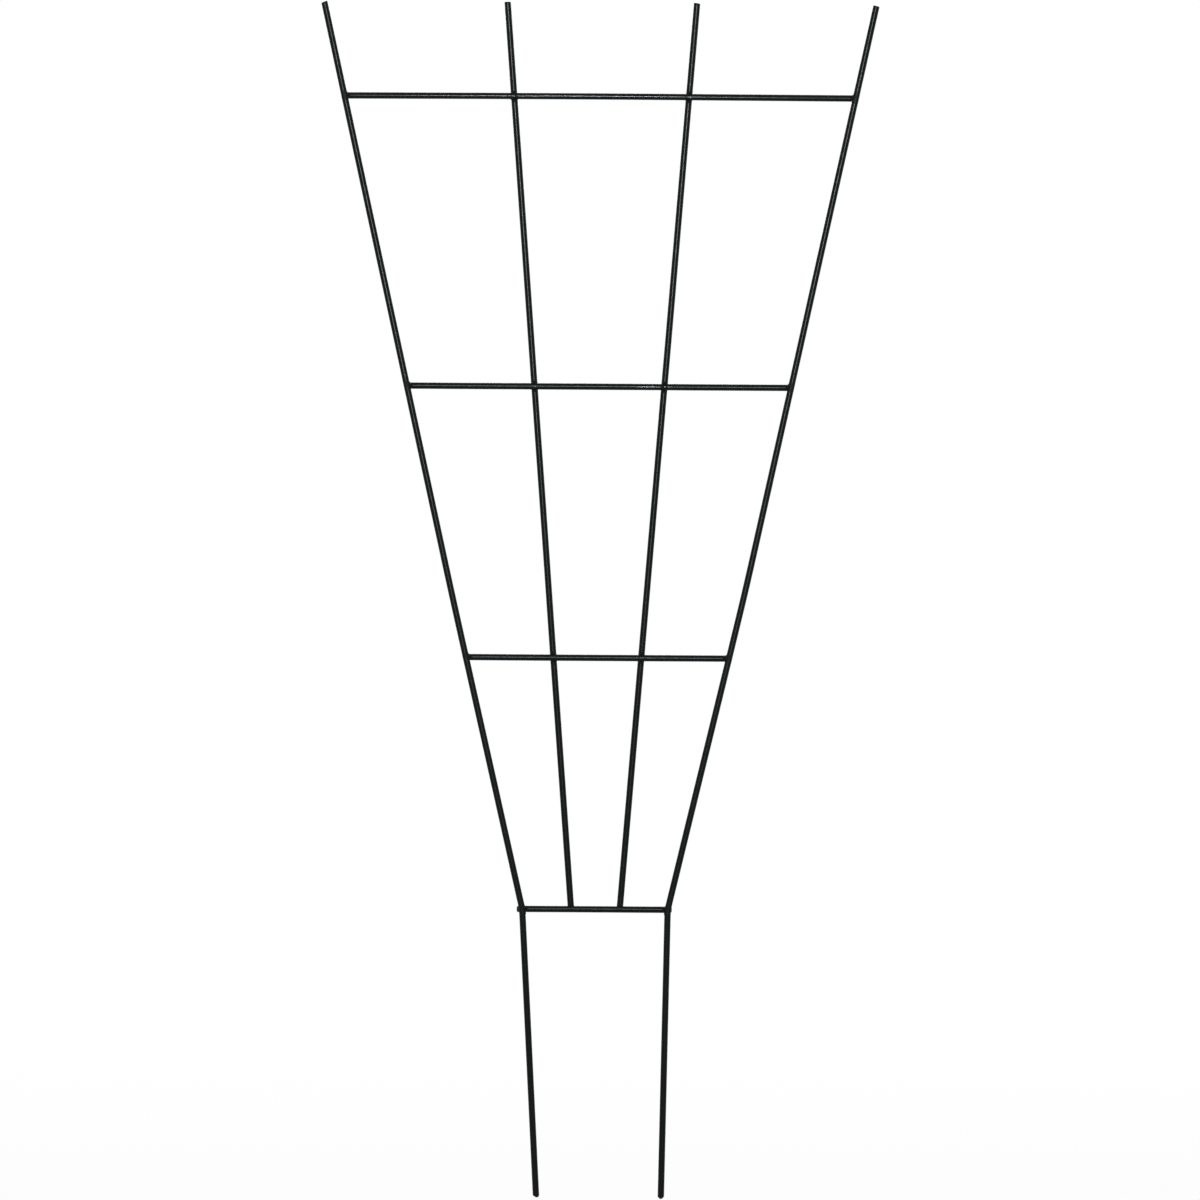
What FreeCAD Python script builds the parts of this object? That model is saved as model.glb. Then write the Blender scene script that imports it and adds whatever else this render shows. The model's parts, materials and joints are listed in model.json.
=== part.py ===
import FreeCAD, Part
import math
import os

# A garden fan trellis, welded from lengths of round steel rod, in millimetres. X runs across the fan
# and Z is up. The front, where the outer uprights lie, faces -Y. The origin is the ground line: the
# underside of the bottom crossbar, halfway between the outer uprights, where the soil stops the
# trellis when its stakes are pushed in.

Vector = FreeCAD.Vector

# Rod, with its coating
ROD_DIAMETER = 6.7
ROD_EDGE_ROUND = 0.5

# Heights, from each crossbar's axis to the next, and from the top one to the uprights' ends
BOTTOM_TO_LOWER = 256.5
LOWER_TO_MIDDLE = 276.5
MIDDLE_TO_TOP = 295.5
LEFT_OUTER_TOP_RISE = 95.5
RIGHT_OUTER_TOP_RISE = 94.2
INNER_TOP_RISE = 96.8

# Spacings between the two outer and the two inner uprights, axis to axis, and how far a pair stands to
# the right of the middle, or to its left where that is below zero
OUTER_BASE_SPACING = 148.2
OUTER_TOP_SPACING = 562.9
OUTER_TOP_SHIFT = -0.25
INNER_BASE_SPACING = 49.7
INNER_TOP_SPACING = 193.4
INNER_BASE_SHIFT = 0.4
INNER_TOP_SHIFT = 1.8

# The outer uprights stand outwards a little above the lower crossbar, where each is gently bent over
# a short stretch
LEFT_BOW = 1.8
RIGHT_BOW = 4.2
BOW_ABOVE_LOWER = 72.0
BOW_BEND_STRETCH = 60.0

# Stakes: the outer uprights' lower ends, bent at the bottom crossbar and pointed
LEFT_STAKE_DEPTH = 294.2
RIGHT_STAKE_DEPTH = 294.9
LEFT_STAKE_INSET = 15.9
RIGHT_STAKE_INSET = 5.2
STAKE_BEND_STRETCH = 12.0
POINT_LENGTH = 3.0
POINT_END_DIAMETER = 2.6
POINT_EDGE_ROUND = 0.6

# Rod ends at the crossings: crossbars past the outer uprights' axes, and the inner uprights past
# the bottom crossbar's axis
BAR_END_PAST_AXIS = 1.5
BOTTOM_BAR_LEFT_OVERHANG = 5.7
BOTTOM_BAR_RIGHT_OVERHANG = 4.2
INNER_END_PAST_AXIS = 1.8

# Welds: how far two rods are pressed into each other, and the lens of metal between them, whose rim
# shows past the corners of the crossing
WELD_SET_DOWN = 0.6
WELD_RIM_PAST_CORNER = 0.8
WELD_THICKNESS = 4.2

# Points nearer than this are the same point
SAME_PLACE = 0.01

# Sizes that follow from those above
ROD_RADIUS = ROD_DIAMETER / 2
LAYER_STEP = ROD_DIAMETER - WELD_SET_DOWN
WELD_RADIUS = ROD_RADIUS * math.sqrt(2) + WELD_RIM_PAST_CORNER
BOTTOM_AXIS = ROD_RADIUS
LOWER_AXIS = BOTTOM_AXIS + BOTTOM_TO_LOWER
MIDDLE_AXIS = LOWER_AXIS + LOWER_TO_MIDDLE
TOP_AXIS = MIDDLE_AXIS + MIDDLE_TO_TOP
BAR_AXES = {"top": TOP_AXIS, "middle": MIDDLE_AXIS, "lower": LOWER_AXIS, "bottom": BOTTOM_AXIS}
BOW_HEIGHT = LOWER_AXIS + BOW_ABOVE_LOWER

# The same on each side of the fan
OUTWARD = {"left": -1, "right": 1}
OUTER_TOP_RISES = {"left": LEFT_OUTER_TOP_RISE, "right": RIGHT_OUTER_TOP_RISE}
BOWS = {"left": LEFT_BOW, "right": RIGHT_BOW}
STAKE_DEPTHS = {"left": LEFT_STAKE_DEPTH, "right": RIGHT_STAKE_DEPTH}
STAKE_INSETS = {"left": LEFT_STAKE_INSET, "right": RIGHT_STAKE_INSET}
BOTTOM_BAR_OVERHANGS = {"left": BOTTOM_BAR_LEFT_OVERHANG, "right": BOTTOM_BAR_RIGHT_OVERHANG}

# The crossbars lie in the middle layer, the outer uprights in front and the inner ones behind
LAYERS = {"outer": -LAYER_STEP, "bar": 0, "inner": LAYER_STEP}


# Routes of the rods' axes, drawn in the crossbars' layer


def rounded_route(points, stretches):
    """Straight runs through the points, each inner corner spread over a bent stretch of that length."""
    edges = []
    start = points[0]
    for before, corner, after, stretch in zip(points, points[1:], points[2:], stretches):
        back = (before - corner).normalize()
        ahead = (after - corner).normalize()
        half_turn = (math.pi - back.getAngle(ahead)) / 2
        trim = stretch / 2
        entry = corner + back * trim
        middle = corner + (back + ahead).normalize() * trim * math.tan(half_turn / 2)
        leave = corner + ahead * trim
        edges.append(Part.LineSegment(start, entry).toShape())
        edges.append(Part.Arc(entry, middle, leave).toShape())
        start = leave
    edges.append(Part.LineSegment(start, points[-1]).toShape())
    return Part.Wire(edges)


def outer_route(side):
    """From the top end down the slightly bowed leg, round the bottom crossbar's bend, to the tip."""
    outward = OUTWARD[side]
    top_x = outward * OUTER_TOP_SPACING / 2 + OUTER_TOP_SHIFT
    top = Vector(top_x, 0, TOP_AXIS + OUTER_TOP_RISES[side])
    base = Vector(outward * OUTER_BASE_SPACING / 2, 0, BOTTOM_AXIS)
    tip = base + Vector(-outward * STAKE_INSETS[side], 0, -STAKE_DEPTHS[side])
    bow_share = (top.z - BOW_HEIGHT) / (top.z - base.z)
    bow = top + (base - top) * bow_share + Vector(outward * BOWS[side], 0, 0)
    return rounded_route([top, bow, base, tip], [BOW_BEND_STRETCH, STAKE_BEND_STRETCH])


def inner_route(side):
    """A straight line from the top end to just past the bottom crossbar's axis."""
    outward = OUTWARD[side]
    top = Vector(outward * INNER_TOP_SPACING / 2 + INNER_TOP_SHIFT, 0, TOP_AXIS + INNER_TOP_RISE)
    base = Vector(outward * INNER_BASE_SPACING / 2 + INNER_BASE_SHIFT, 0, BOTTOM_AXIS)
    end = base + (base - top).normalize() * INNER_END_PAST_AXIS
    return rounded_route([top, end], [])


def crossing(route, height):
    """The point where a route passes a height."""
    level_start = Vector(-OUTER_TOP_SPACING, 0, height)
    level_end = Vector(OUTER_TOP_SPACING, 0, height)
    level = Part.LineSegment(level_start, level_end).toShape()
    return route.distToShape(level)[1][0][1]


# Rods


def rod_along(route, layer):
    """A round rod with its axis on the route, in the given layer."""
    first = route.OrderedEdges[0]
    direction = first.tangentAt(first.FirstParameter)
    section = Part.Circle(route.OrderedVertexes[0].Point, direction, ROD_RADIUS)
    rod = route.makePipe(Part.Face(Part.Wire(section.toShape())))
    rod.translate(Vector(0, layer, 0))
    return rod


def in_layer(point, layer):
    return Vector(point.x, layer, point.z)


def round_rim(rod, centre, radius):
    """Take the sharp edge off the rod's round rim with the given centre."""
    rims = [edge for edge in rod.Edges if (edge.CenterOfMass - centre).Length < SAME_PLACE]
    return rod.makeFillet(radius, rims)


def pointed(rod, end, direction):
    """Work the rod's end down to a short blunt point."""
    shoulder = end - direction * POINT_LENGTH
    spare = Part.makeCylinder(ROD_DIAMETER, POINT_LENGTH * 2, shoulder, direction)
    cone = Part.makeCone(ROD_RADIUS, POINT_END_DIAMETER / 2, POINT_LENGTH, shoulder, direction)
    point = rod.cut(spare).fuse(cone)
    point = round_rim(point, shoulder, POINT_EDGE_ROUND)
    return round_rim(point, end, POINT_EDGE_ROUND)


def outer_upright(route):
    rod = rod_along(route, LAYERS["outer"])
    top, *_, bend_end, tip = [in_layer(vertex.Point, LAYERS["outer"]) for vertex in route.OrderedVertexes]
    rod = round_rim(rod, top, ROD_EDGE_ROUND)
    return pointed(rod, tip, (tip - bend_end).normalize())


def inner_upright(route):
    rod = rod_along(route, LAYERS["inner"])
    for vertex in route.OrderedVertexes:
        rod = round_rim(rod, in_layer(vertex.Point, LAYERS["inner"]), ROD_EDGE_ROUND)
    return rod


def crossbar(level):
    """A straight rod from just past one outer upright's axis to just past the other's."""
    ends = []
    for side, outward in OUTWARD.items():
        past = BOTTOM_BAR_OVERHANGS[side] if level == "bottom" else BAR_END_PAST_AXIS
        ends.append(crossing(outer_route(side), BAR_AXES[level]) + Vector(outward * past, 0, 0))
    rod = rod_along(rounded_route(ends, []), LAYERS["bar"])
    for end in ends:
        rod = round_rim(rod, end, ROD_EDGE_ROUND)
    return rod


# Welds


def weld_lens():
    """A flat lens of metal about the origin, facing Y."""
    rim = Vector(WELD_RADIUS, 0, 0)
    pole = Vector(0, WELD_THICKNESS / 2, 0)
    outline = Part.Arc(Part.Ellipse(rim, pole, Vector(0, 0, 0)), -math.pi / 2, math.pi / 2)
    axis = Part.LineSegment(pole, -pole)
    section = Part.Face(Part.Wire([outline.toShape(), axis.toShape()]))
    return section.revolve(Vector(0, 0, 0), Vector(0, 1, 0), 360)


def weld(bar, upright, contact, lower_end):
    """The lens between two rods at their contact, less the rods, and no further than their cut ends."""
    lens = weld_lens()
    lens.translate(contact)
    reach_bottom = lower_end.z + ROD_EDGE_ROUND
    reach_height = contact.z - reach_bottom + WELD_RADIUS * 2
    reach_corner = Vector(bar.BoundBox.XMin, contact.y - WELD_THICKNESS, reach_bottom)
    reach = Part.makeBox(bar.BoundBox.XLength, WELD_THICKNESS * 2, reach_height, reach_corner)
    return lens.common(reach).cut([bar, upright])


# The whole trellis


def build():
    """Every piece by name. The crossbars stay round, and the uprights are pressed onto them."""
    bars = {level: crossbar(level) for level in BAR_AXES}
    pieces = {f"{level}_crossbar": bar for level, bar in bars.items()}
    for kind, route_of, rod_of in (
        ("outer", outer_route, outer_upright),
        ("inner", inner_route, inner_upright),
    ):
        for side in OUTWARD:
            route = route_of(side)
            upright = rod_of(route).cut(list(bars.values()))
            lower_end = route.OrderedVertexes[-1].Point
            pieces[f"{kind}_upright_{side}"] = upright
            for level, bar in bars.items():
                contact = in_layer(crossing(route, BAR_AXES[level]), LAYERS[kind] / 2)
                pieces[f"weld_{level}_{kind}_{side}"] = weld(bar, upright, contact, lower_end)
    return pieces


os.makedirs("parts", exist_ok=True)
for node, shape in build().items():
    shape.Solids[0].exportStep(os.path.join("parts", node + ".step"))
    print(f"{node:26s} solids {len(shape.Solids)}  valid {shape.isValid()}  volume {shape.Volume:9.2f}")
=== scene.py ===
import json
import math
import random

import bpy
import numpy as np
from mathutils import Matrix, Vector, noise


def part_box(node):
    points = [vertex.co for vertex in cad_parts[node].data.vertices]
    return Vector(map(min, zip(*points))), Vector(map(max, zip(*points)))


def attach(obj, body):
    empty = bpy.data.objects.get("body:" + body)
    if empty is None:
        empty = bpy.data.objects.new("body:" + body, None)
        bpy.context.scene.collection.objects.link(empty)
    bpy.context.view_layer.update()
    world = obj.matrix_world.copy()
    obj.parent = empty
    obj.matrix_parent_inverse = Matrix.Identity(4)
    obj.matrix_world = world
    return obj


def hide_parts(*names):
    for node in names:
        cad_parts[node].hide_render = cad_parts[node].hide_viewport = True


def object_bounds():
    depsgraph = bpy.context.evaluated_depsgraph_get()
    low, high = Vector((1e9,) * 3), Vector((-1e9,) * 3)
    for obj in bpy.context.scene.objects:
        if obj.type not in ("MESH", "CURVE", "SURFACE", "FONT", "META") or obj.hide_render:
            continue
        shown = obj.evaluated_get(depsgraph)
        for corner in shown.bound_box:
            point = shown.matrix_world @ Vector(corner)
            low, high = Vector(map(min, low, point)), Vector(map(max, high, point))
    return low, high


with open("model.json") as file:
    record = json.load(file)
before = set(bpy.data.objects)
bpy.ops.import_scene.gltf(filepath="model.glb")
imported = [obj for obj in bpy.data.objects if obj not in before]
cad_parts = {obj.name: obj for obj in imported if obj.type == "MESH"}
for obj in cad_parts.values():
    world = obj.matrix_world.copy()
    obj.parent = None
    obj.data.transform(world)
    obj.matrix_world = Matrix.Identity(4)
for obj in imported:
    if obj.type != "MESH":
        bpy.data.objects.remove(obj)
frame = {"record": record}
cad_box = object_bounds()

# A garden fan trellis of black coated steel rod, seen from the front. Where each rod runs is read from
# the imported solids: its radius and its ends come from its box, the crossings from the welds' boxes,
# and the stakes' lines from the mounts. Distances are in metres.

MM = 0.001
LEVELS = ("top", "middle", "lower", "bottom")
OUTWARD = {"left": -1, "right": 1}
ACROSS = Vector((1, 0, 0))
DEPTH = Vector((0, 1, 0))
UP = Vector((0, 0, 1))

# Photograph: the object's point at the picture's centre, the width of the picture at the object, how
# far the camera was turned about its line of sight, and how far off things are still drawn
VIEW_CENTRE_X = 3.16 * MM
VIEW_CENTRE_Z = 318.84 * MM
VIEW_WIDTH = 1223.8 * MM
VIEW_ROLL = math.radians(0.357)
LENS = 300
SENSOR = 36
VIEW_LIMIT = 100

# Rods: the rings that their skins are made of, the stretches over which they are bent, how far they
# wander from their route, how far the middle of one stands above it, and how deep they are dented
RING_STEP = 1.8 * MM
LAST_RING_STEP = RING_STEP * 1.5
LEAST_RUN_STEPS = 3
ROD_SIDES = 32
OUTER_BOW_STRETCH = 60 * MM
STAKE_BEND_STRETCH = 12 * MM
WANDER = 0.12 * MM
WANDER_LENGTH = 150 * MM
ROD_RISES = {"top_crossbar": 0.5 * MM}
DENT_DEPTH = 0.05 * MM
DENT_LENGTH = 7 * MM

# Marks that the welding electrodes press into the rods, opposite each crossing, with closer rings near
# them, and how far along an upright the coat is dull over the steel that they roughen
MARK_DEPTH = 0.22 * MM
MARK_HALF_LENGTH = 4.2 * MM
MARK_RING_STEP = 0.5 * MM
MARK_RINGS_HALF_LENGTH = MARK_HALF_LENGTH * 1.5
MARK_GRAIN = 0.16 * MM
MARK_GRAIN_LENGTH = 1.6 * MM
DULL_HALF_LENGTH = 6.5 * MM

# Rod ends: sheared a little out of square, with the rim rounded over, or worked to a blunt point, with
# its rings closer together towards the nose. Two top ends slant more, one down to the left and one
# down to the right, and the left stake's point leans to the right
RIM_ROUND = 0.55 * MM
BAR_RIM_ROUND = 2.0 * MM
RIM_STEPS = 5
FACE_SHARES = (0.85, 0.6, 0.3)
FACE_TILT = 0.04
TOP_SLANTS = {"outer_upright_left": -0.15, "inner_upright_right": 0.09}
FACE_DENT = 0.15 * MM
FACE_DENT_LENGTH = 2.5 * MM
POINT_LENGTH = 3.0 * MM
POINT_RADIUS = 1.05 * MM
POINT_NOSE = 0.6 * MM
POINT_SHOULDER = 0.6 * MM
POINT_LEANS = {"outer_upright_left": 1.0 * MM}
POINT_STEPS = 14
POINT_STEPS_POWER = 1.5

# Welds: the lump between two rods, how it runs out onto them, and the skin that is drawn on it, with
# its rows closer together at the rim
WELD_THICKNESS = 4.2 * MM
WELD_RIM_INSET = 0.7 * MM
WELD_RUN_OUT = 0.5 * MM
WELD_REACH = 7.2 * MM
WELD_END_ROUND = 0.6 * MM
WELD_END_INSET = 1.0 * MM
WELD_LUMP_SHARE = 0.07
WELD_LUMPS_ROUND = 2.6
WELD_GRAIN_SHARE = 0.02
WELD_GRAINS_ROUND = 8.0
WELD_NOISE_STEP = 3
WELD_SUNK = 0.35 * MM
WELD_FEATHER = 0.18 * MM
WELD_LONGITUDES = 108
WELD_LATITUDES = 40
WELD_LATITUDES_POWER = 1.4
SURFACE_SEARCH_STEPS = 60
SURFACE_SEARCH_PACE = 0.7

# Beads of metal spattered on the crossbars near the welds
SPATTER_COUNT = 5
SPATTER_NEAR = 5.5 * MM
SPATTER_FAR = 14.0 * MM
SPATTER_RADII = (0.22 * MM, 0.42 * MM)
SPATTER_HEIGHT_SHARE = 0.6
SPATTER_TURN = math.radians(55)
BEAD_ROWS = 6
BEAD_SIDES = 10

# Coat: how much it mirrors, its tones, its pale specks, how unevenly rough it is and how much rougher
# where it is dull, and its orange peel and grit. Scales are in waves per metre, and a detail is how
# many finer layers a texture has
COAT_SPECULAR = 0.12
COAT_TINT = (0.87, 0.93, 1.0)
TONE_POSITIONS = (0.35, 0.7)
TONES = ((0.0003, 0.0016, 0.0006), (0.0009, 0.0027, 0.0015))
TONE_SCALE = 90
TONE_DETAIL = 4
SPECK_SCALE = 900
SPECK_DETAIL = 1
SPECK_EDGE = 0.08
SPECK_TONE = (0.06, 0.06, 0.06)
GLOSS_SCALE = 260
GLOSS_DETAIL = 3
GLOSS_NOISE = (0.3, 0.7)
GLOSS_SPREAD = 0.06
DULL_ROUGHNESS = 0.25
PEEL_SCALE = 300
PEEL_DETAIL = 1
GRIT_SCALE = 2600
GRIT_DETAIL = 2
GRIT_DEPTH = 0.008 * MM

# Studio: each light as its share of white, where the lamps stand and how wide they shine, and a floor
# that turns plain white between two distances
WORLD_LIGHT = 0.2
KEY_LIGHT = 0.9
KEY_PLACE = (0, -5, 1)
KEY_WIDTH = 0.5
KEY_HEIGHT = 0.3
KEY_SPREAD = math.radians(36)
BACK_LIGHT = 0.35
BACK_PLACE = (-0.3, 3.2, 1.6)
BACK_WIDTH = 2.2
BACK_HEIGHT = 1.4
BACK_SPREAD = math.radians(150)
LAMPS_TARGET = (0, 0, 0.85)
FLOOR_SIZE = 80
FLOOR_GAP = 0.2 * MM
FLOOR_TONE = (0.95, 0.95, 0.95)
FLOOR_ROUGHNESS = 0.9
FLOOR_WHITE_SHARE = 0.97
FLOOR_FADE = (0.7, 3.0)


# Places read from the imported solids


def node_centre(node):
    low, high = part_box(node)
    return (low + high) / 2


ROD_RADIUS = (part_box("top_crossbar")[1].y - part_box("top_crossbar")[0].y) / 2
BAR_HEIGHTS = {level: node_centre(level + "_crossbar").z for level in LEVELS}
LAYERS = {kind: node_centre(kind + "_upright_left").y for kind in ("outer", "inner")}
STAKES = {mount["name"]: mount for mount in frame["record"]["mounts"] if mount["kind"] == "pin"}


def weld_half_width(level, side):
    """Half the width of a weld. The inner ones show it, because no bar's end cuts them off."""
    low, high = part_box("weld_" + level + "_inner_" + side)
    return (high.x - low.x) / 2


def crossing(level, kind, side):
    """Where an upright's axis passes a crossbar, from the weld's inward edge, which is whole."""
    low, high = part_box("weld_" + level + "_" + kind + "_" + side)
    inward_edge = low.x if OUTWARD[side] > 0 else high.x
    x = inward_edge + OUTWARD[side] * weld_half_width(level, side)
    return Vector((x, LAYERS[kind], BAR_HEIGHTS[level]))


def at_height(first, second, height):
    """The point at a height on the line through two points."""
    return first + (second - first) * ((height - first.z) / (second.z - first.z))


def meeting(first, second, third, fourth):
    """Where the line through two points meets the line through two others, both in one layer."""
    upper_gap = first.x - at_height(third, fourth, first.z).x
    lower_gap = at_height(first, second, fourth.z).x - fourth.x
    share = upper_gap / (upper_gap - lower_gap)
    return at_height(first, second, first.z + (fourth.z - first.z) * share)


def end_height(node, first, second, which):
    """The height of a cut rod end's centre, from the rod's box and the lean of its last run."""
    lean = abs((second - first).normalized().x)
    low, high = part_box(node)
    rim = (ROD_RADIUS - RIM_ROUND) * lean
    return high.z - rim if which == "high" else low.z + rim


def outer_corners(side):
    """From the top end, by the slight bow above the lower bar, round the stake's bend, to the tip."""
    node = "outer_upright_" + side
    stake = STAKES["stake_" + side]
    on_stake = Vector(stake["pos_m"])
    base = at_height(on_stake, on_stake + Vector(stake["axis"]), BAR_HEIGHTS["bottom"])
    top_bar, middle_bar, lower_bar = [crossing(level, "outer", side) for level in LEVELS[:-1]]
    top = at_height(middle_bar, top_bar, end_height(node, middle_bar, top_bar, "high"))
    bow = meeting(top_bar, middle_bar, lower_bar, base)
    tip = at_height(base, on_stake, end_height(node, base, on_stake, "low"))
    return [top, bow, base, tip]


def inner_corners(side):
    """The top end and the bottom end of a straight rod."""
    node = "inner_upright_" + side
    top_bar = crossing("top", "inner", side)
    bottom_bar = crossing("bottom", "inner", side)
    top = at_height(bottom_bar, top_bar, end_height(node, bottom_bar, top_bar, "high"))
    bottom = at_height(top_bar, bottom_bar, end_height(node, top_bar, bottom_bar, "low"))
    return [top, bottom]


def bar_corners(level):
    """The left end and the right end of a crossbar."""
    low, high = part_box(level + "_crossbar")
    middle = (low + high) / 2
    return [Vector((low.x, middle.y, middle.z)), Vector((high.x, middle.y, middle.z))]


# Blends


def smooth_least(first, second, run_out):
    """The lesser of two distances, blended where they differ by less than the run-out."""
    blend = np.clip(run_out - np.abs(first - second), 0, None) / run_out
    return np.minimum(first, second) - blend**2 * run_out / 4


def smooth_most(first, second, run_out):
    """The greater of two distances, blended in the same way."""
    return -smooth_least(-first, -second, run_out)


# Rods


def rounded_route(corners, stretches):
    """Points a ring apart along straight runs, with each inner corner spread over its stretch."""
    runs = []
    start = corners[0]
    for corner, after, stretch in zip(corners[1:], corners[2:], stretches):
        entry = corner + (start - corner).normalized() * stretch / 2
        leave = corner + (after - corner).normalized() * stretch / 2
        runs.append((start, (start + entry) / 2, entry))
        runs.append((entry, corner, leave))
        start = leave
    runs.append((start, (start + corners[-1]) / 2, corners[-1]))
    points = [corners[0]]
    for first, middle, last in runs:
        steps = max(LEAST_RUN_STEPS, round((last - first).length / RING_STEP))
        for step in range(1, steps + 1):
            share = step / steps
            point = first * (1 - share) ** 2 + middle * (2 * share * (1 - share)) + last * share**2
            points.append(point)
    return points


def cut_end_profile(rim_round):
    """A sheared end's rings, from the middle out: how far each lies back, and its radius."""
    rings = [(0, share * (ROD_RADIUS - rim_round)) for share in reversed(FACE_SHARES)]
    for step in range(RIM_STEPS + 1):
        angle = math.pi / 2 * step / RIM_STEPS
        back = rim_round * (1 - math.cos(angle))
        rings.append((back, ROD_RADIUS - rim_round * (1 - math.sin(angle))))
    return rings


def pointed_end_profile():
    """Rings of a stake's short blunt point, from its nose back to the full rod."""
    rings = []
    for step in range(1, POINT_STEPS + 1):
        back = POINT_LENGTH * (step / POINT_STEPS) ** POINT_STEPS_POWER
        taper = POINT_RADIUS + (ROD_RADIUS - POINT_RADIUS) * back / (POINT_LENGTH - POINT_SHOULDER)
        radius = float(smooth_least(taper, ROD_RADIUS, POINT_SHOULDER))
        into_nose = min(back / POINT_NOSE, 1)
        rings.append((back, radius * math.sqrt(1 - (1 - into_nose) ** 2)))
    return rings


def along(points, distance):
    """The point and the direction at a distance along a polyline."""
    for first, second in zip(points, points[1:]):
        length = (second - first).length
        if distance <= length:
            break
        distance -= length
    direction = (second - first).normalized()
    return first + direction * distance, direction


def distance_to(points, target):
    """How far along a polyline its nearest place to the target lies."""
    nearest = None
    passed = 0
    for first, second in zip(points, points[1:]):
        run = second - first
        share = max(0, min(1, (target - first).dot(run) / run.length_squared))
        gap = (first + run * share - target).length
        if nearest is None or gap < nearest[0]:
            nearest = (gap, passed + run.length * share)
        passed += run.length
    return nearest[1]


def rod_stations(length, profiles, marks):
    """Each ring's distance along the rod, its radius, and 1 at the rod's start, -1 at its end or 0."""
    start_profile, end_profile = profiles
    end_depth = end_profile[-1][0]
    stations = [(back, radius, 1) for back, radius in start_profile]
    distance = start_profile[-1][0]
    while distance < length - end_depth - LAST_RING_STEP:
        near_mark = any(abs(distance - place) < MARK_RINGS_HALF_LENGTH for place, _ in marks)
        distance += MARK_RING_STEP if near_mark else RING_STEP
        stations.append((distance, ROD_RADIUS, 0))
    return stations + [(length - back, radius, -1) for back, radius in reversed(end_profile)]


def pressed(spot, centre, distance, marks):
    """The spot, moved in where an electrode's mark flattens the rod."""
    for place, facing in marks:
        fade = 1 - ((distance - place) / MARK_HALF_LENGTH) ** 2
        if fade > 0:
            grain = noise.noise(spot / MARK_GRAIN_LENGTH) * MARK_GRAIN
            flat = ROD_RADIUS - (MARK_DEPTH + grain) * fade
            proud = (spot.y - centre.y) * facing - flat
            spot = spot - DEPTH * facing * max(proud, 0)
    return spot


def dulled(distance, marks):
    """How dull the coat is at a distance along an upright, from 0 to 1 at a crossing."""
    nearest = min(abs(distance - place) for place, _ in marks)
    return max(0, 1 - (nearest / DULL_HALF_LENGTH) ** 2)


def end_setback(spot, radius, angle, slant, turn):
    """How far a spot of a cut end lies back: sheared out of square, and torn a little."""
    sheared = slant * (ROD_RADIUS + radius * math.cos(angle - turn))
    torn = (1 + noise.noise(spot / FACE_DENT_LENGTH)) / 2
    return sheared + FACE_DENT * torn * (1 - radius / ROD_RADIUS)


def end_cut(node, end, seed):
    """How steeply a rod's end is slanted, and the turn about the rod of its lowest place."""
    if end == 1 and node in TOP_SLANTS:
        slant = TOP_SLANTS[node]
        return abs(slant), 0 if slant > 0 else math.pi
    return FACE_TILT, noise.noise(seed + UP * end / 2) * math.tau


def rod_mesh(node, corners, stretches, profiles, crossings, number):
    """One rod as a closed skin: rings along its route, slightly wandering and dented, and two ends.

    Its vertices carry how dull the coat is, which an upright is near its crossings.
    """
    points = rounded_route(corners, stretches)
    length = sum((second - first).length for first, second in zip(points, points[1:]))
    marks = [(distance_to(points, place), facing) for place, facing in crossings]
    stations = rod_stations(length, profiles, marks)
    seed = Vector((number, number / 2, -number))
    vertices = []
    dullness = []
    caps = {}
    for ring, (distance, radius, end) in enumerate(stations):
        centre, direction = along(points, distance)
        sideways = direction.cross(DEPTH).normalized()
        drift = noise.noise(centre / WANDER_LENGTH + seed) * WANDER + ROD_RISES.get(node, 0)
        into_point = max(0, 1 - (length - distance) / POINT_LENGTH)
        lean = into_point * POINT_LEANS.get(node, 0)
        centre = centre + sideways * (drift * math.sin(math.pi * distance / length) + lean)
        cut = end_cut(node, end, seed)
        for side in range(ROD_SIDES):
            angle = math.tau * side / ROD_SIDES
            outwards = sideways * math.cos(angle) + DEPTH * math.sin(angle)
            spot = centre + outwards * radius
            dent = (1 - noise.noise(spot / DENT_LENGTH + seed)) / 2
            spot = spot - outwards * DENT_DEPTH * dent * radius / ROD_RADIUS
            spot = pressed(spot, centre, distance, marks)
            vertices.append(spot + direction * end * end_setback(spot, radius, angle, *cut))
        dullness += [dulled(distance, marks) if "upright" in node else 0] * ROD_SIDES
        if ring in (0, len(stations) - 1):
            caps[ring] = centre + direction * end * end_setback(centre, 0, 0, *cut)
    faces = []
    for ring in range(len(stations) - 1):
        for side in range(ROD_SIDES):
            here = ring * ROD_SIDES + side
            beside = ring * ROD_SIDES + (side + 1) % ROD_SIDES
            faces.append((here, here + ROD_SIDES, beside + ROD_SIDES, beside))
    for (ring, centre), order in zip(caps.items(), (1, -1)):
        vertices.append(centre)
        dullness.append(0)
        for side in range(ROD_SIDES):
            rim = (ring * ROD_SIDES + side, ring * ROD_SIDES + (side + 1) % ROD_SIDES)
            faces.append((len(vertices) - 1, *rim[::order]))
    mesh = bpy.data.meshes.new("coated_" + node)
    mesh.from_pydata(vertices, [], faces)
    mesh.attributes.new("dullness", "FLOAT", "POINT").data.foreach_set("value", dullness)
    return mesh


# Welds


def weld_directions():
    """Directions from a weld's middle: rings of latitude about DEPTH, closer together at the rim."""
    directions = [-DEPTH]
    for row in range(1, WELD_LATITUDES):
        share = row / WELD_LATITUDES * 2 - 1
        latitude = math.copysign(abs(share) ** WELD_LATITUDES_POWER, share) * math.pi / 2
        for column in range(WELD_LONGITUDES):
            longitude = math.tau * column / WELD_LONGITUDES
            flat = ACROSS * math.cos(longitude) + UP * math.sin(longitude)
            directions.append(flat * math.cos(latitude) + DEPTH * math.sin(latitude))
    directions.append(DEPTH)
    return directions


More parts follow.
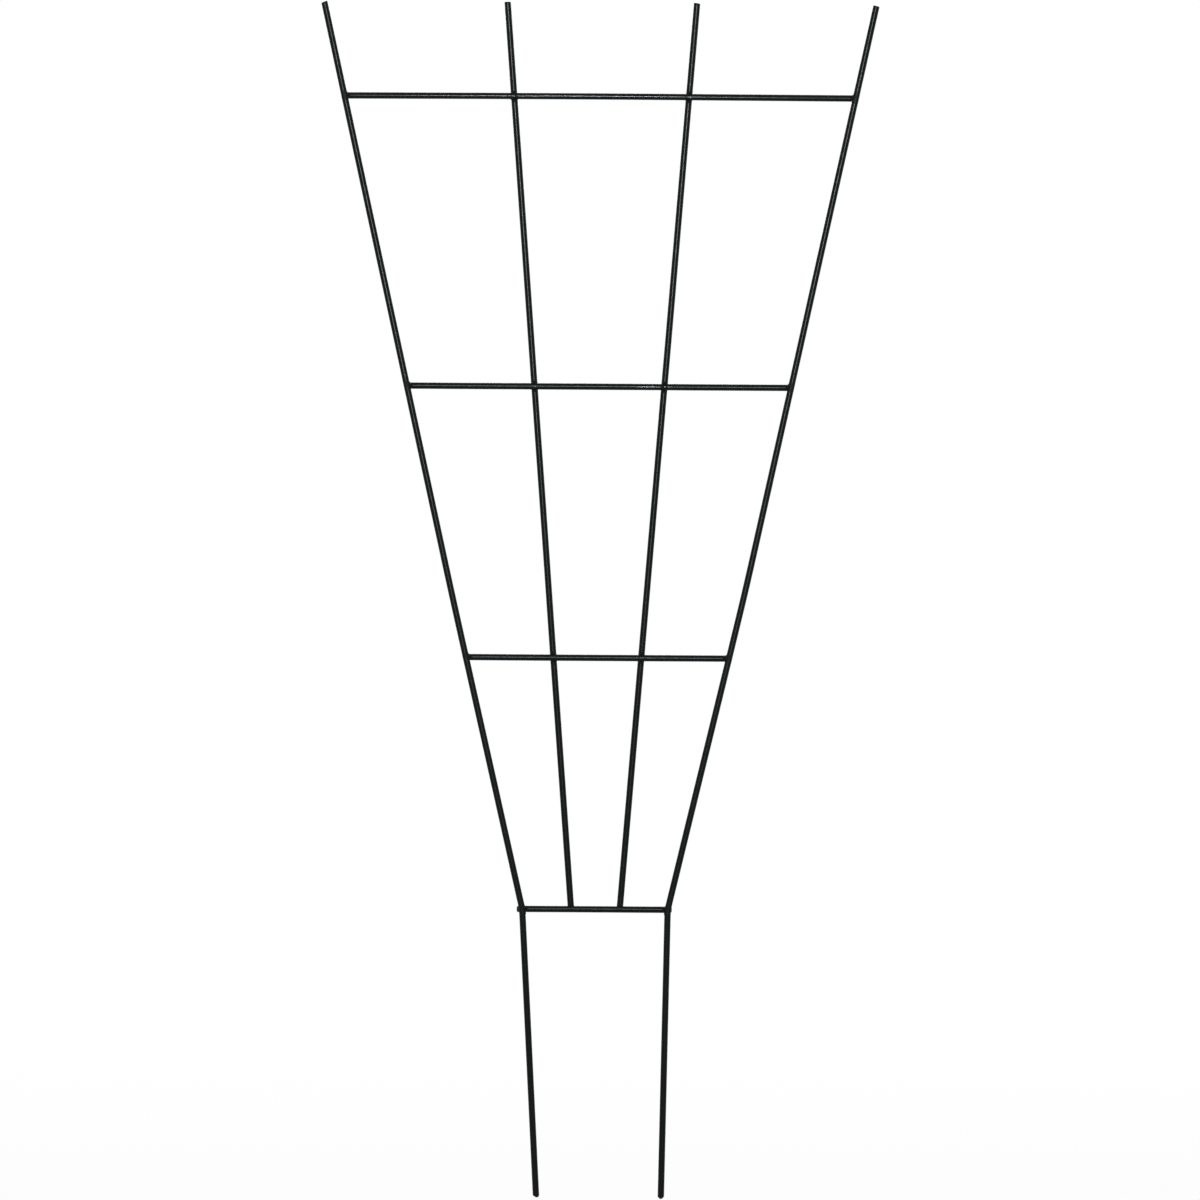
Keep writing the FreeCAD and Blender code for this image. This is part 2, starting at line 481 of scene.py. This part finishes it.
def sphere_faces(first, rows, sides):
    """Faces of a closed skin: a pole, rings and the other pole, numbered from the first vertex on."""
    faces = []
    last = first + 1 + (rows - 1) * sides
    for column in range(sides):
        beside = (column + 1) % sides
        faces.append((first, first + 1 + column, first + 1 + beside))
        faces.append((last, last - sides + beside, last - sides + column))
        for row in range(rows - 2):
            low = first + 1 + row * sides
            high = low + sides
            faces.append((low + column, high + column, high + beside, low + beside))
    return faces


def add_spatter(vertices, faces, bar_centre, outward, number):
    """Add small beads of metal, spattered on the crossbar near a weld and half sunk into it."""
    draw = random.Random(number)
    for _ in range(SPATTER_COUNT):
        away = draw.uniform(SPATTER_NEAR, SPATTER_FAR)
        angle = draw.choice((-1, 1)) * math.pi / 2 + draw.uniform(-SPATTER_TURN, SPATTER_TURN)
        radius = draw.uniform(*SPATTER_RADII)
        outwards = UP * math.cos(angle) + DEPTH * math.sin(angle)
        middle = bar_centre - ACROSS * outward * away + outwards * (ROD_RADIUS - DENT_DEPTH / 2)
        around = outwards.cross(ACROSS)
        first = len(vertices)
        for row in range(BEAD_ROWS + 1):
            latitude = math.pi * row / BEAD_ROWS
            for column in range(BEAD_SIDES if 0 < row < BEAD_ROWS else 1):
                longitude = math.tau * column / BEAD_SIDES
                flat = ACROSS * math.cos(longitude) + around * math.sin(longitude)
                rise = outwards * SPATTER_HEIGHT_SHARE * math.cos(latitude)
                vertices.append(middle + (flat * math.sin(latitude) + rise) * radius)
        faces.extend(sphere_faces(first, BEAD_ROWS, BEAD_SIDES))


def weld_mesh(name, level, kind, side, number):
    """The lump of metal round the contact of two rods, running out onto both and lying inside them."""
    cross = crossing(level, kind, side)
    bar_low, bar_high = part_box(level + "_crossbar")
    along_bar = (cross.x - bar_low.x) / (bar_high.x - bar_low.x)
    rise = ROD_RISES.get(level + "_crossbar", 0) * math.sin(math.pi * along_bar)
    bar_centre = Vector((cross.x, node_centre(level + "_crossbar").y, cross.z + rise))
    middle = (cross + bar_centre) / 2
    if kind == "outer":
        top, _, base, _ = outer_corners(side)
    else:
        top, base = inner_corners(side)
    lean = np.array((top - base).normalized())
    weld_radius = weld_half_width(level, side) - WELD_RIM_INSET
    bar_end = bar_high.x if OUTWARD[side] > 0 else bar_low.x
    rod_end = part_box(kind + "_upright_" + side)[0].z

    directions = weld_directions()
    lumps_shift = ACROSS * number * WELD_NOISE_STEP
    grains_shift = DEPTH * number * WELD_NOISE_STEP
    lump = np.array([noise.noise(way * WELD_LUMPS_ROUND + lumps_shift) for way in directions])
    grain = np.array([noise.noise(way * WELD_GRAINS_ROUND + grains_shift) for way in directions])
    rays = np.array(directions)
    swell = 1 + WELD_LUMP_SHARE * lump + WELD_GRAIN_SHARE * grain
    half_sizes = np.array((weld_radius, WELD_THICKNESS / 2, weld_radius))
    to_upright = np.array(cross - middle)
    to_bar = np.array(bar_centre - middle)

    def rods_distance(spots):
        """How far spots lie outside the crossbar and outside the upright."""
        from_bar = spots - to_bar
        bar = np.hypot(from_bar[:, 1], from_bar[:, 2]) - ROD_RADIUS
        from_upright = spots - to_upright
        off_axis = from_upright - np.outer(from_upright @ lean, lean)
        return bar, np.linalg.norm(off_axis, axis=1) - ROD_RADIUS

    def metal_distance(spots):
        """About how far spots lie outside the rods and the lump, blended, short of the rods' ends."""
        bar, upright = rods_distance(spots)
        lens = (np.linalg.norm(spots / half_sizes, axis=1) / swell - 1) * WELD_THICKNESS / 2
        rods = smooth_least(bar, upright, WELD_RUN_OUT / 2)
        metal = smooth_least(rods, lens, WELD_RUN_OUT)
        past_bar = (spots[:, 0] + middle.x - bar_end) * OUTWARD[side] + WELD_END_INSET
        below = rod_end - (spots[:, 2] + middle.z)
        metal = smooth_most(metal, past_bar, WELD_END_ROUND)
        return smooth_most(metal, below, WELD_END_ROUND)

    reach = np.zeros(len(rays))
    for _ in range(SURFACE_SEARCH_STEPS):
        inside = np.clip(-metal_distance(rays * reach[:, None]), -WELD_REACH, None)
        reach = np.clip(reach + inside * SURFACE_SEARCH_PACE, 0, WELD_REACH)
    spots = rays * reach[:, None]
    clear_of_rods = np.minimum(*rods_distance(spots))
    sunk = np.clip(1 - clear_of_rods / WELD_FEATHER, 0, 1) * WELD_SUNK
    spots = rays * (reach - sunk)[:, None]
    vertices = [middle + Vector(spot) for spot in spots]
    faces = sphere_faces(0, WELD_LATITUDES, WELD_LONGITUDES)
    add_spatter(vertices, faces, bar_centre, OUTWARD[side], number)
    mesh = bpy.data.meshes.new(name)
    mesh.from_pydata(vertices, [], faces)
    return mesh


# Materials


def link(tree, source, target):
    """Feed one node's output, the source, into another's input."""
    tree.links.new(source, target)


def computed(tree, operation, *values):
    """The result of an operation on values, each of them a node's output or a plain number."""
    maths = tree.nodes.new("ShaderNodeMath")
    maths.operation = operation
    for entry, value in zip(maths.inputs, values):
        if isinstance(value, bpy.types.NodeSocket):
            link(tree, value, entry)
        else:
            entry.default_value = value
    return maths.outputs["Value"]


def noise_at(tree, place, scale, detail):
    """Smooth noise, from about 0 to 1."""
    texture = tree.nodes.new("ShaderNodeTexNoise")
    texture.inputs["Scale"].default_value = scale
    texture.inputs["Detail"].default_value = detail
    link(tree, place, texture.inputs["Vector"])
    return texture.outputs["Fac"]


def ranged(tree, source, source_range, target_range):
    """The source's range mapped onto the target's, and held at its limits."""
    spread = tree.nodes.new("ShaderNodeMapRange")
    spread.inputs["From Min"].default_value, spread.inputs["From Max"].default_value = source_range
    spread.inputs["To Min"].default_value, spread.inputs["To Max"].default_value = target_range
    link(tree, source, spread.inputs["Value"])
    return spread.outputs["Result"]


def coated_steel(name, roughness, peel, wear, polish=0, polish_x=0, polish_reach=(0, 1)):
    """Satin black powder coat: uneven tone and gloss, an orange-peel surface, and specks rubbed pale.

    It is less rough by the polish as far as the first reach from the place where hands and ties rub it,
    and not beyond the second, and rougher where the mesh is dull, near the uprights' welds.
    """
    material = bpy.data.materials.new(name)
    material.use_nodes = True
    tree = material.node_tree
    nodes = tree.nodes
    shader = nodes["Principled BSDF"]
    shader.inputs["Specular IOR Level"].default_value = COAT_SPECULAR
    shader.inputs["Specular Tint"].default_value = (*COAT_TINT, 1)
    place = nodes.new("ShaderNodeTexCoord").outputs["Object"]

    ramp = nodes.new("ShaderNodeValToRGB")
    for element, position, colour in zip(ramp.color_ramp.elements, TONE_POSITIONS, TONES):
        element.position = position
        element.color = (*colour, 1)
    link(tree, noise_at(tree, place, TONE_SCALE, TONE_DETAIL), ramp.inputs["Fac"])

    specks = noise_at(tree, place, SPECK_SCALE, SPECK_DETAIL)
    worn = ranged(tree, specks, (1 - wear, 1 - wear + SPECK_EDGE), (0, 1))
    rubbed = nodes.new("ShaderNodeMix")
    rubbed.data_type = "RGBA"
    rubbed.inputs["B"].default_value = (*SPECK_TONE, 1)
    link(tree, worn, rubbed.inputs["Factor"])
    link(tree, ramp.outputs["Color"], rubbed.inputs["A"])
    link(tree, rubbed.outputs["Result"], shader.inputs["Base Color"])

    rough_range = (roughness - GLOSS_SPREAD, roughness + GLOSS_SPREAD)
    rough = ranged(tree, noise_at(tree, place, GLOSS_SCALE, GLOSS_DETAIL), GLOSS_NOISE, rough_range)
    axes = nodes.new("ShaderNodeSeparateXYZ")
    link(tree, place, axes.inputs["Vector"])
    aside = computed(tree, "ABSOLUTE", computed(tree, "SUBTRACT", axes.outputs["X"], polish_x))
    polished = computed(tree, "SUBTRACT", rough, ranged(tree, aside, polish_reach, (polish, 0)))
    dullness = nodes.new("ShaderNodeAttribute")
    dullness.attribute_name = "dullness"
    dulled_rough = computed(tree, "MULTIPLY_ADD", dullness.outputs["Fac"], DULL_ROUGHNESS, polished)
    link(tree, dulled_rough, shader.inputs["Roughness"])

    surface = None
    layers = ((PEEL_SCALE, PEEL_DETAIL, peel), (GRIT_SCALE, GRIT_DETAIL, GRIT_DEPTH))
    for scale, detail, depth in layers:
        bump = nodes.new("ShaderNodeBump")
        bump.inputs["Strength"].default_value = 1
        bump.inputs["Distance"].default_value = depth
        link(tree, noise_at(tree, place, scale, detail), bump.inputs["Height"])
        if surface:
            link(tree, surface, bump.inputs["Normal"])
        surface = bump.outputs["Normal"]
    link(tree, surface, shader.inputs["Normal"])
    return material


# Coats of the rods and of the welds. Two crossbars are rubbed glossier along a stretch


COAT = coated_steel("satin_black_coat", roughness=0.27, peel=0.08 * MM, wear=0.25)
WELD_COAT = coated_steel("coated_weld", roughness=0.42, peel=0.2 * MM, wear=0.28)
BAR_COATS = {
    "top": coated_steel(
        "rubbed_black_coat",
        roughness=0.38,
        peel=0.15 * MM,
        wear=0.3,
        polish=0.27,
        polish_x=-35 * MM,
        polish_reach=(50 * MM, 250 * MM),
    ),
    "middle": coated_steel(
        "touched_black_coat",
        roughness=0.29,
        peel=0.1 * MM,
        wear=0.25,
        polish=0.21,
        polish_x=55 * MM,
        polish_reach=(10 * MM, 24 * MM),
    ),
    "lower": COAT,
    "bottom": COAT,
}


# The whole trellis


def add_piece(mesh, node, material):
    """Show the mesh in place of a node."""
    for polygon in mesh.polygons:
        polygon.use_smooth = True
    mesh.materials.append(material)
    piece = bpy.data.objects.new(mesh.name, mesh)
    bpy.context.scene.collection.objects.link(piece)
    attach(piece, "root")
    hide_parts(node)


def build_trellis():
    """The eight rods, uprights first, and then the sixteen welds."""
    cut = cut_end_profile(RIM_ROUND)
    bar_cut = cut_end_profile(BAR_RIM_ROUND)
    point = pointed_end_profile()
    rods = []
    for kind, corners_of, bends, profiles in (
        ("outer", outer_corners, (OUTER_BOW_STRETCH, STAKE_BEND_STRETCH), (cut, point)),
        ("inner", inner_corners, (), (cut, cut)),
    ):
        facing = math.copysign(1, LAYERS[kind])
        for side in OUTWARD:
            node = kind + "_upright_" + side
            crossings = [(crossing(level, kind, side), facing) for level in LEVELS]
            rods.append((node, corners_of(side), bends, profiles, crossings, COAT))
    for level in LEVELS:
        crossings = []
        for kind in LAYERS:
            facing = -math.copysign(1, LAYERS[kind])
            crossings += [(crossing(level, kind, side), facing) for side in OUTWARD]
        node = level + "_crossbar"
        rods.append((node, bar_corners(level), (), (bar_cut, bar_cut), crossings, BAR_COATS[level]))
    for number, (node, corners, bends, profiles, crossings, coat) in enumerate(rods):
        mesh = rod_mesh(node, corners, bends, profiles, crossings, number)
        add_piece(mesh, node, coat)
    welds = [(level, kind, side) for level in LEVELS for kind in LAYERS for side in OUTWARD]
    for number, (level, kind, side) in enumerate(welds):
        node = "_".join(("weld", level, kind, side))
        mesh = weld_mesh("lump_" + node, level, kind, side, number)
        add_piece(mesh, node, WELD_COAT)


build_trellis()


# Studio


def seen_rays(tree):
    """1 for rays that show the surroundings: straight from the camera, mirrored or through glass."""
    path = tree.nodes.new("ShaderNodeLightPath")
    seen = path.outputs["Is Camera Ray"]
    for kind in ("Is Glossy Ray", "Is Transmission Ray"):
        seen = computed(tree, "MAXIMUM", seen, path.outputs[kind])
    return seen


def studio_floor():
    """A white floor just under the stakes' tips, with their soft shadows. Far off it is plain white."""
    bpy.ops.mesh.primitive_plane_add(size=FLOOR_SIZE, location=(0, 0, cad_box[0].z - FLOOR_GAP))
    floor = bpy.context.object
    floor.name = "floor"
    material = bpy.data.materials.new("white_floor")
    material.use_nodes = True
    tree = material.node_tree
    paint = tree.nodes["Principled BSDF"]
    paint.inputs["Base Color"].default_value = (*FLOOR_TONE, 1)
    paint.inputs["Roughness"].default_value = FLOOR_ROUGHNESS
    paint.inputs["Specular IOR Level"].default_value = 0
    glow = tree.nodes.new("ShaderNodeEmission")
    distance = tree.nodes.new("ShaderNodeVectorMath")
    distance.operation = "LENGTH"
    link(tree, tree.nodes.new("ShaderNodeTexCoord").outputs["Object"], distance.inputs[0])
    white_share = ranged(tree, distance.outputs["Value"], FLOOR_FADE, (FLOOR_WHITE_SHARE, 1))
    mix = tree.nodes.new("ShaderNodeMixShader")
    link(tree, computed(tree, "MULTIPLY", seen_rays(tree), white_share), mix.inputs["Fac"])
    link(tree, paint.outputs["BSDF"], mix.inputs[1])
    link(tree, glow.outputs["Emission"], mix.inputs[2])
    link(tree, mix.outputs["Shader"], tree.nodes["Material Output"].inputs["Surface"])
    floor.data.materials.append(material)


def studio_world():
    """White to look at, and an even dimmer light on surfaces."""
    world = bpy.data.worlds.new("studio")
    bpy.context.scene.world = world
    world.use_nodes = True
    tree = world.node_tree
    background = tree.nodes["Background"]
    background.inputs["Color"].default_value = (1, 1, 1, 1)
    strength = ranged(tree, seen_rays(tree), (0, 1), (WORLD_LIGHT, 1))
    link(tree, strength, background.inputs["Strength"])


def soft_box(name, place, target, width, height, spread, whiteness):
    """A lamp that lights a white surface at its target, facing it, to the given share of white.

    Its light fades to nothing at the edge of its spread, so it needs less energy than a wide one.
    """
    way = Vector(target) - Vector(place)
    lamp = bpy.data.lights.new(name, "AREA")
    lamp.shape = "RECTANGLE"
    lamp.size = width
    lamp.size_y = height
    lamp.spread = spread
    edge = math.tan(spread / 2)
    narrowing = 1 - spread / 2 / edge
    lamp.energy = whiteness * math.pi**2 * way.length_squared * narrowing
    light = bpy.data.objects.new(name, lamp)
    bpy.context.scene.collection.objects.link(light)
    light.location = place
    light.rotation_euler = way.to_track_quat("-Z", "Y").to_euler()


def camera():
    """Straight in front at the picture's centre, turned by the photograph's roll."""
    data = bpy.data.cameras.new("camera")
    data.lens = LENS
    data.sensor_width = SENSOR
    data.clip_end = VIEW_LIMIT
    eye = bpy.data.objects.new("camera", data)
    bpy.context.scene.collection.objects.link(eye)
    eye.location = (VIEW_CENTRE_X, -VIEW_WIDTH * LENS / SENSOR, VIEW_CENTRE_Z)
    level = Matrix.Rotation(math.pi / 2, 4, "X")
    roll = Matrix.Rotation(VIEW_ROLL, 4, "Z")
    eye.rotation_euler = (level @ roll).to_euler()
    bpy.context.scene.camera = eye


studio_floor()
studio_world()
soft_box("key", KEY_PLACE, LAMPS_TARGET, KEY_WIDTH, KEY_HEIGHT, KEY_SPREAD, KEY_LIGHT)
soft_box("back", BACK_PLACE, LAMPS_TARGET, BACK_WIDTH, BACK_HEIGHT, BACK_SPREAD, BACK_LIGHT)
camera()
bpy.context.scene.view_settings.view_transform = "Standard"
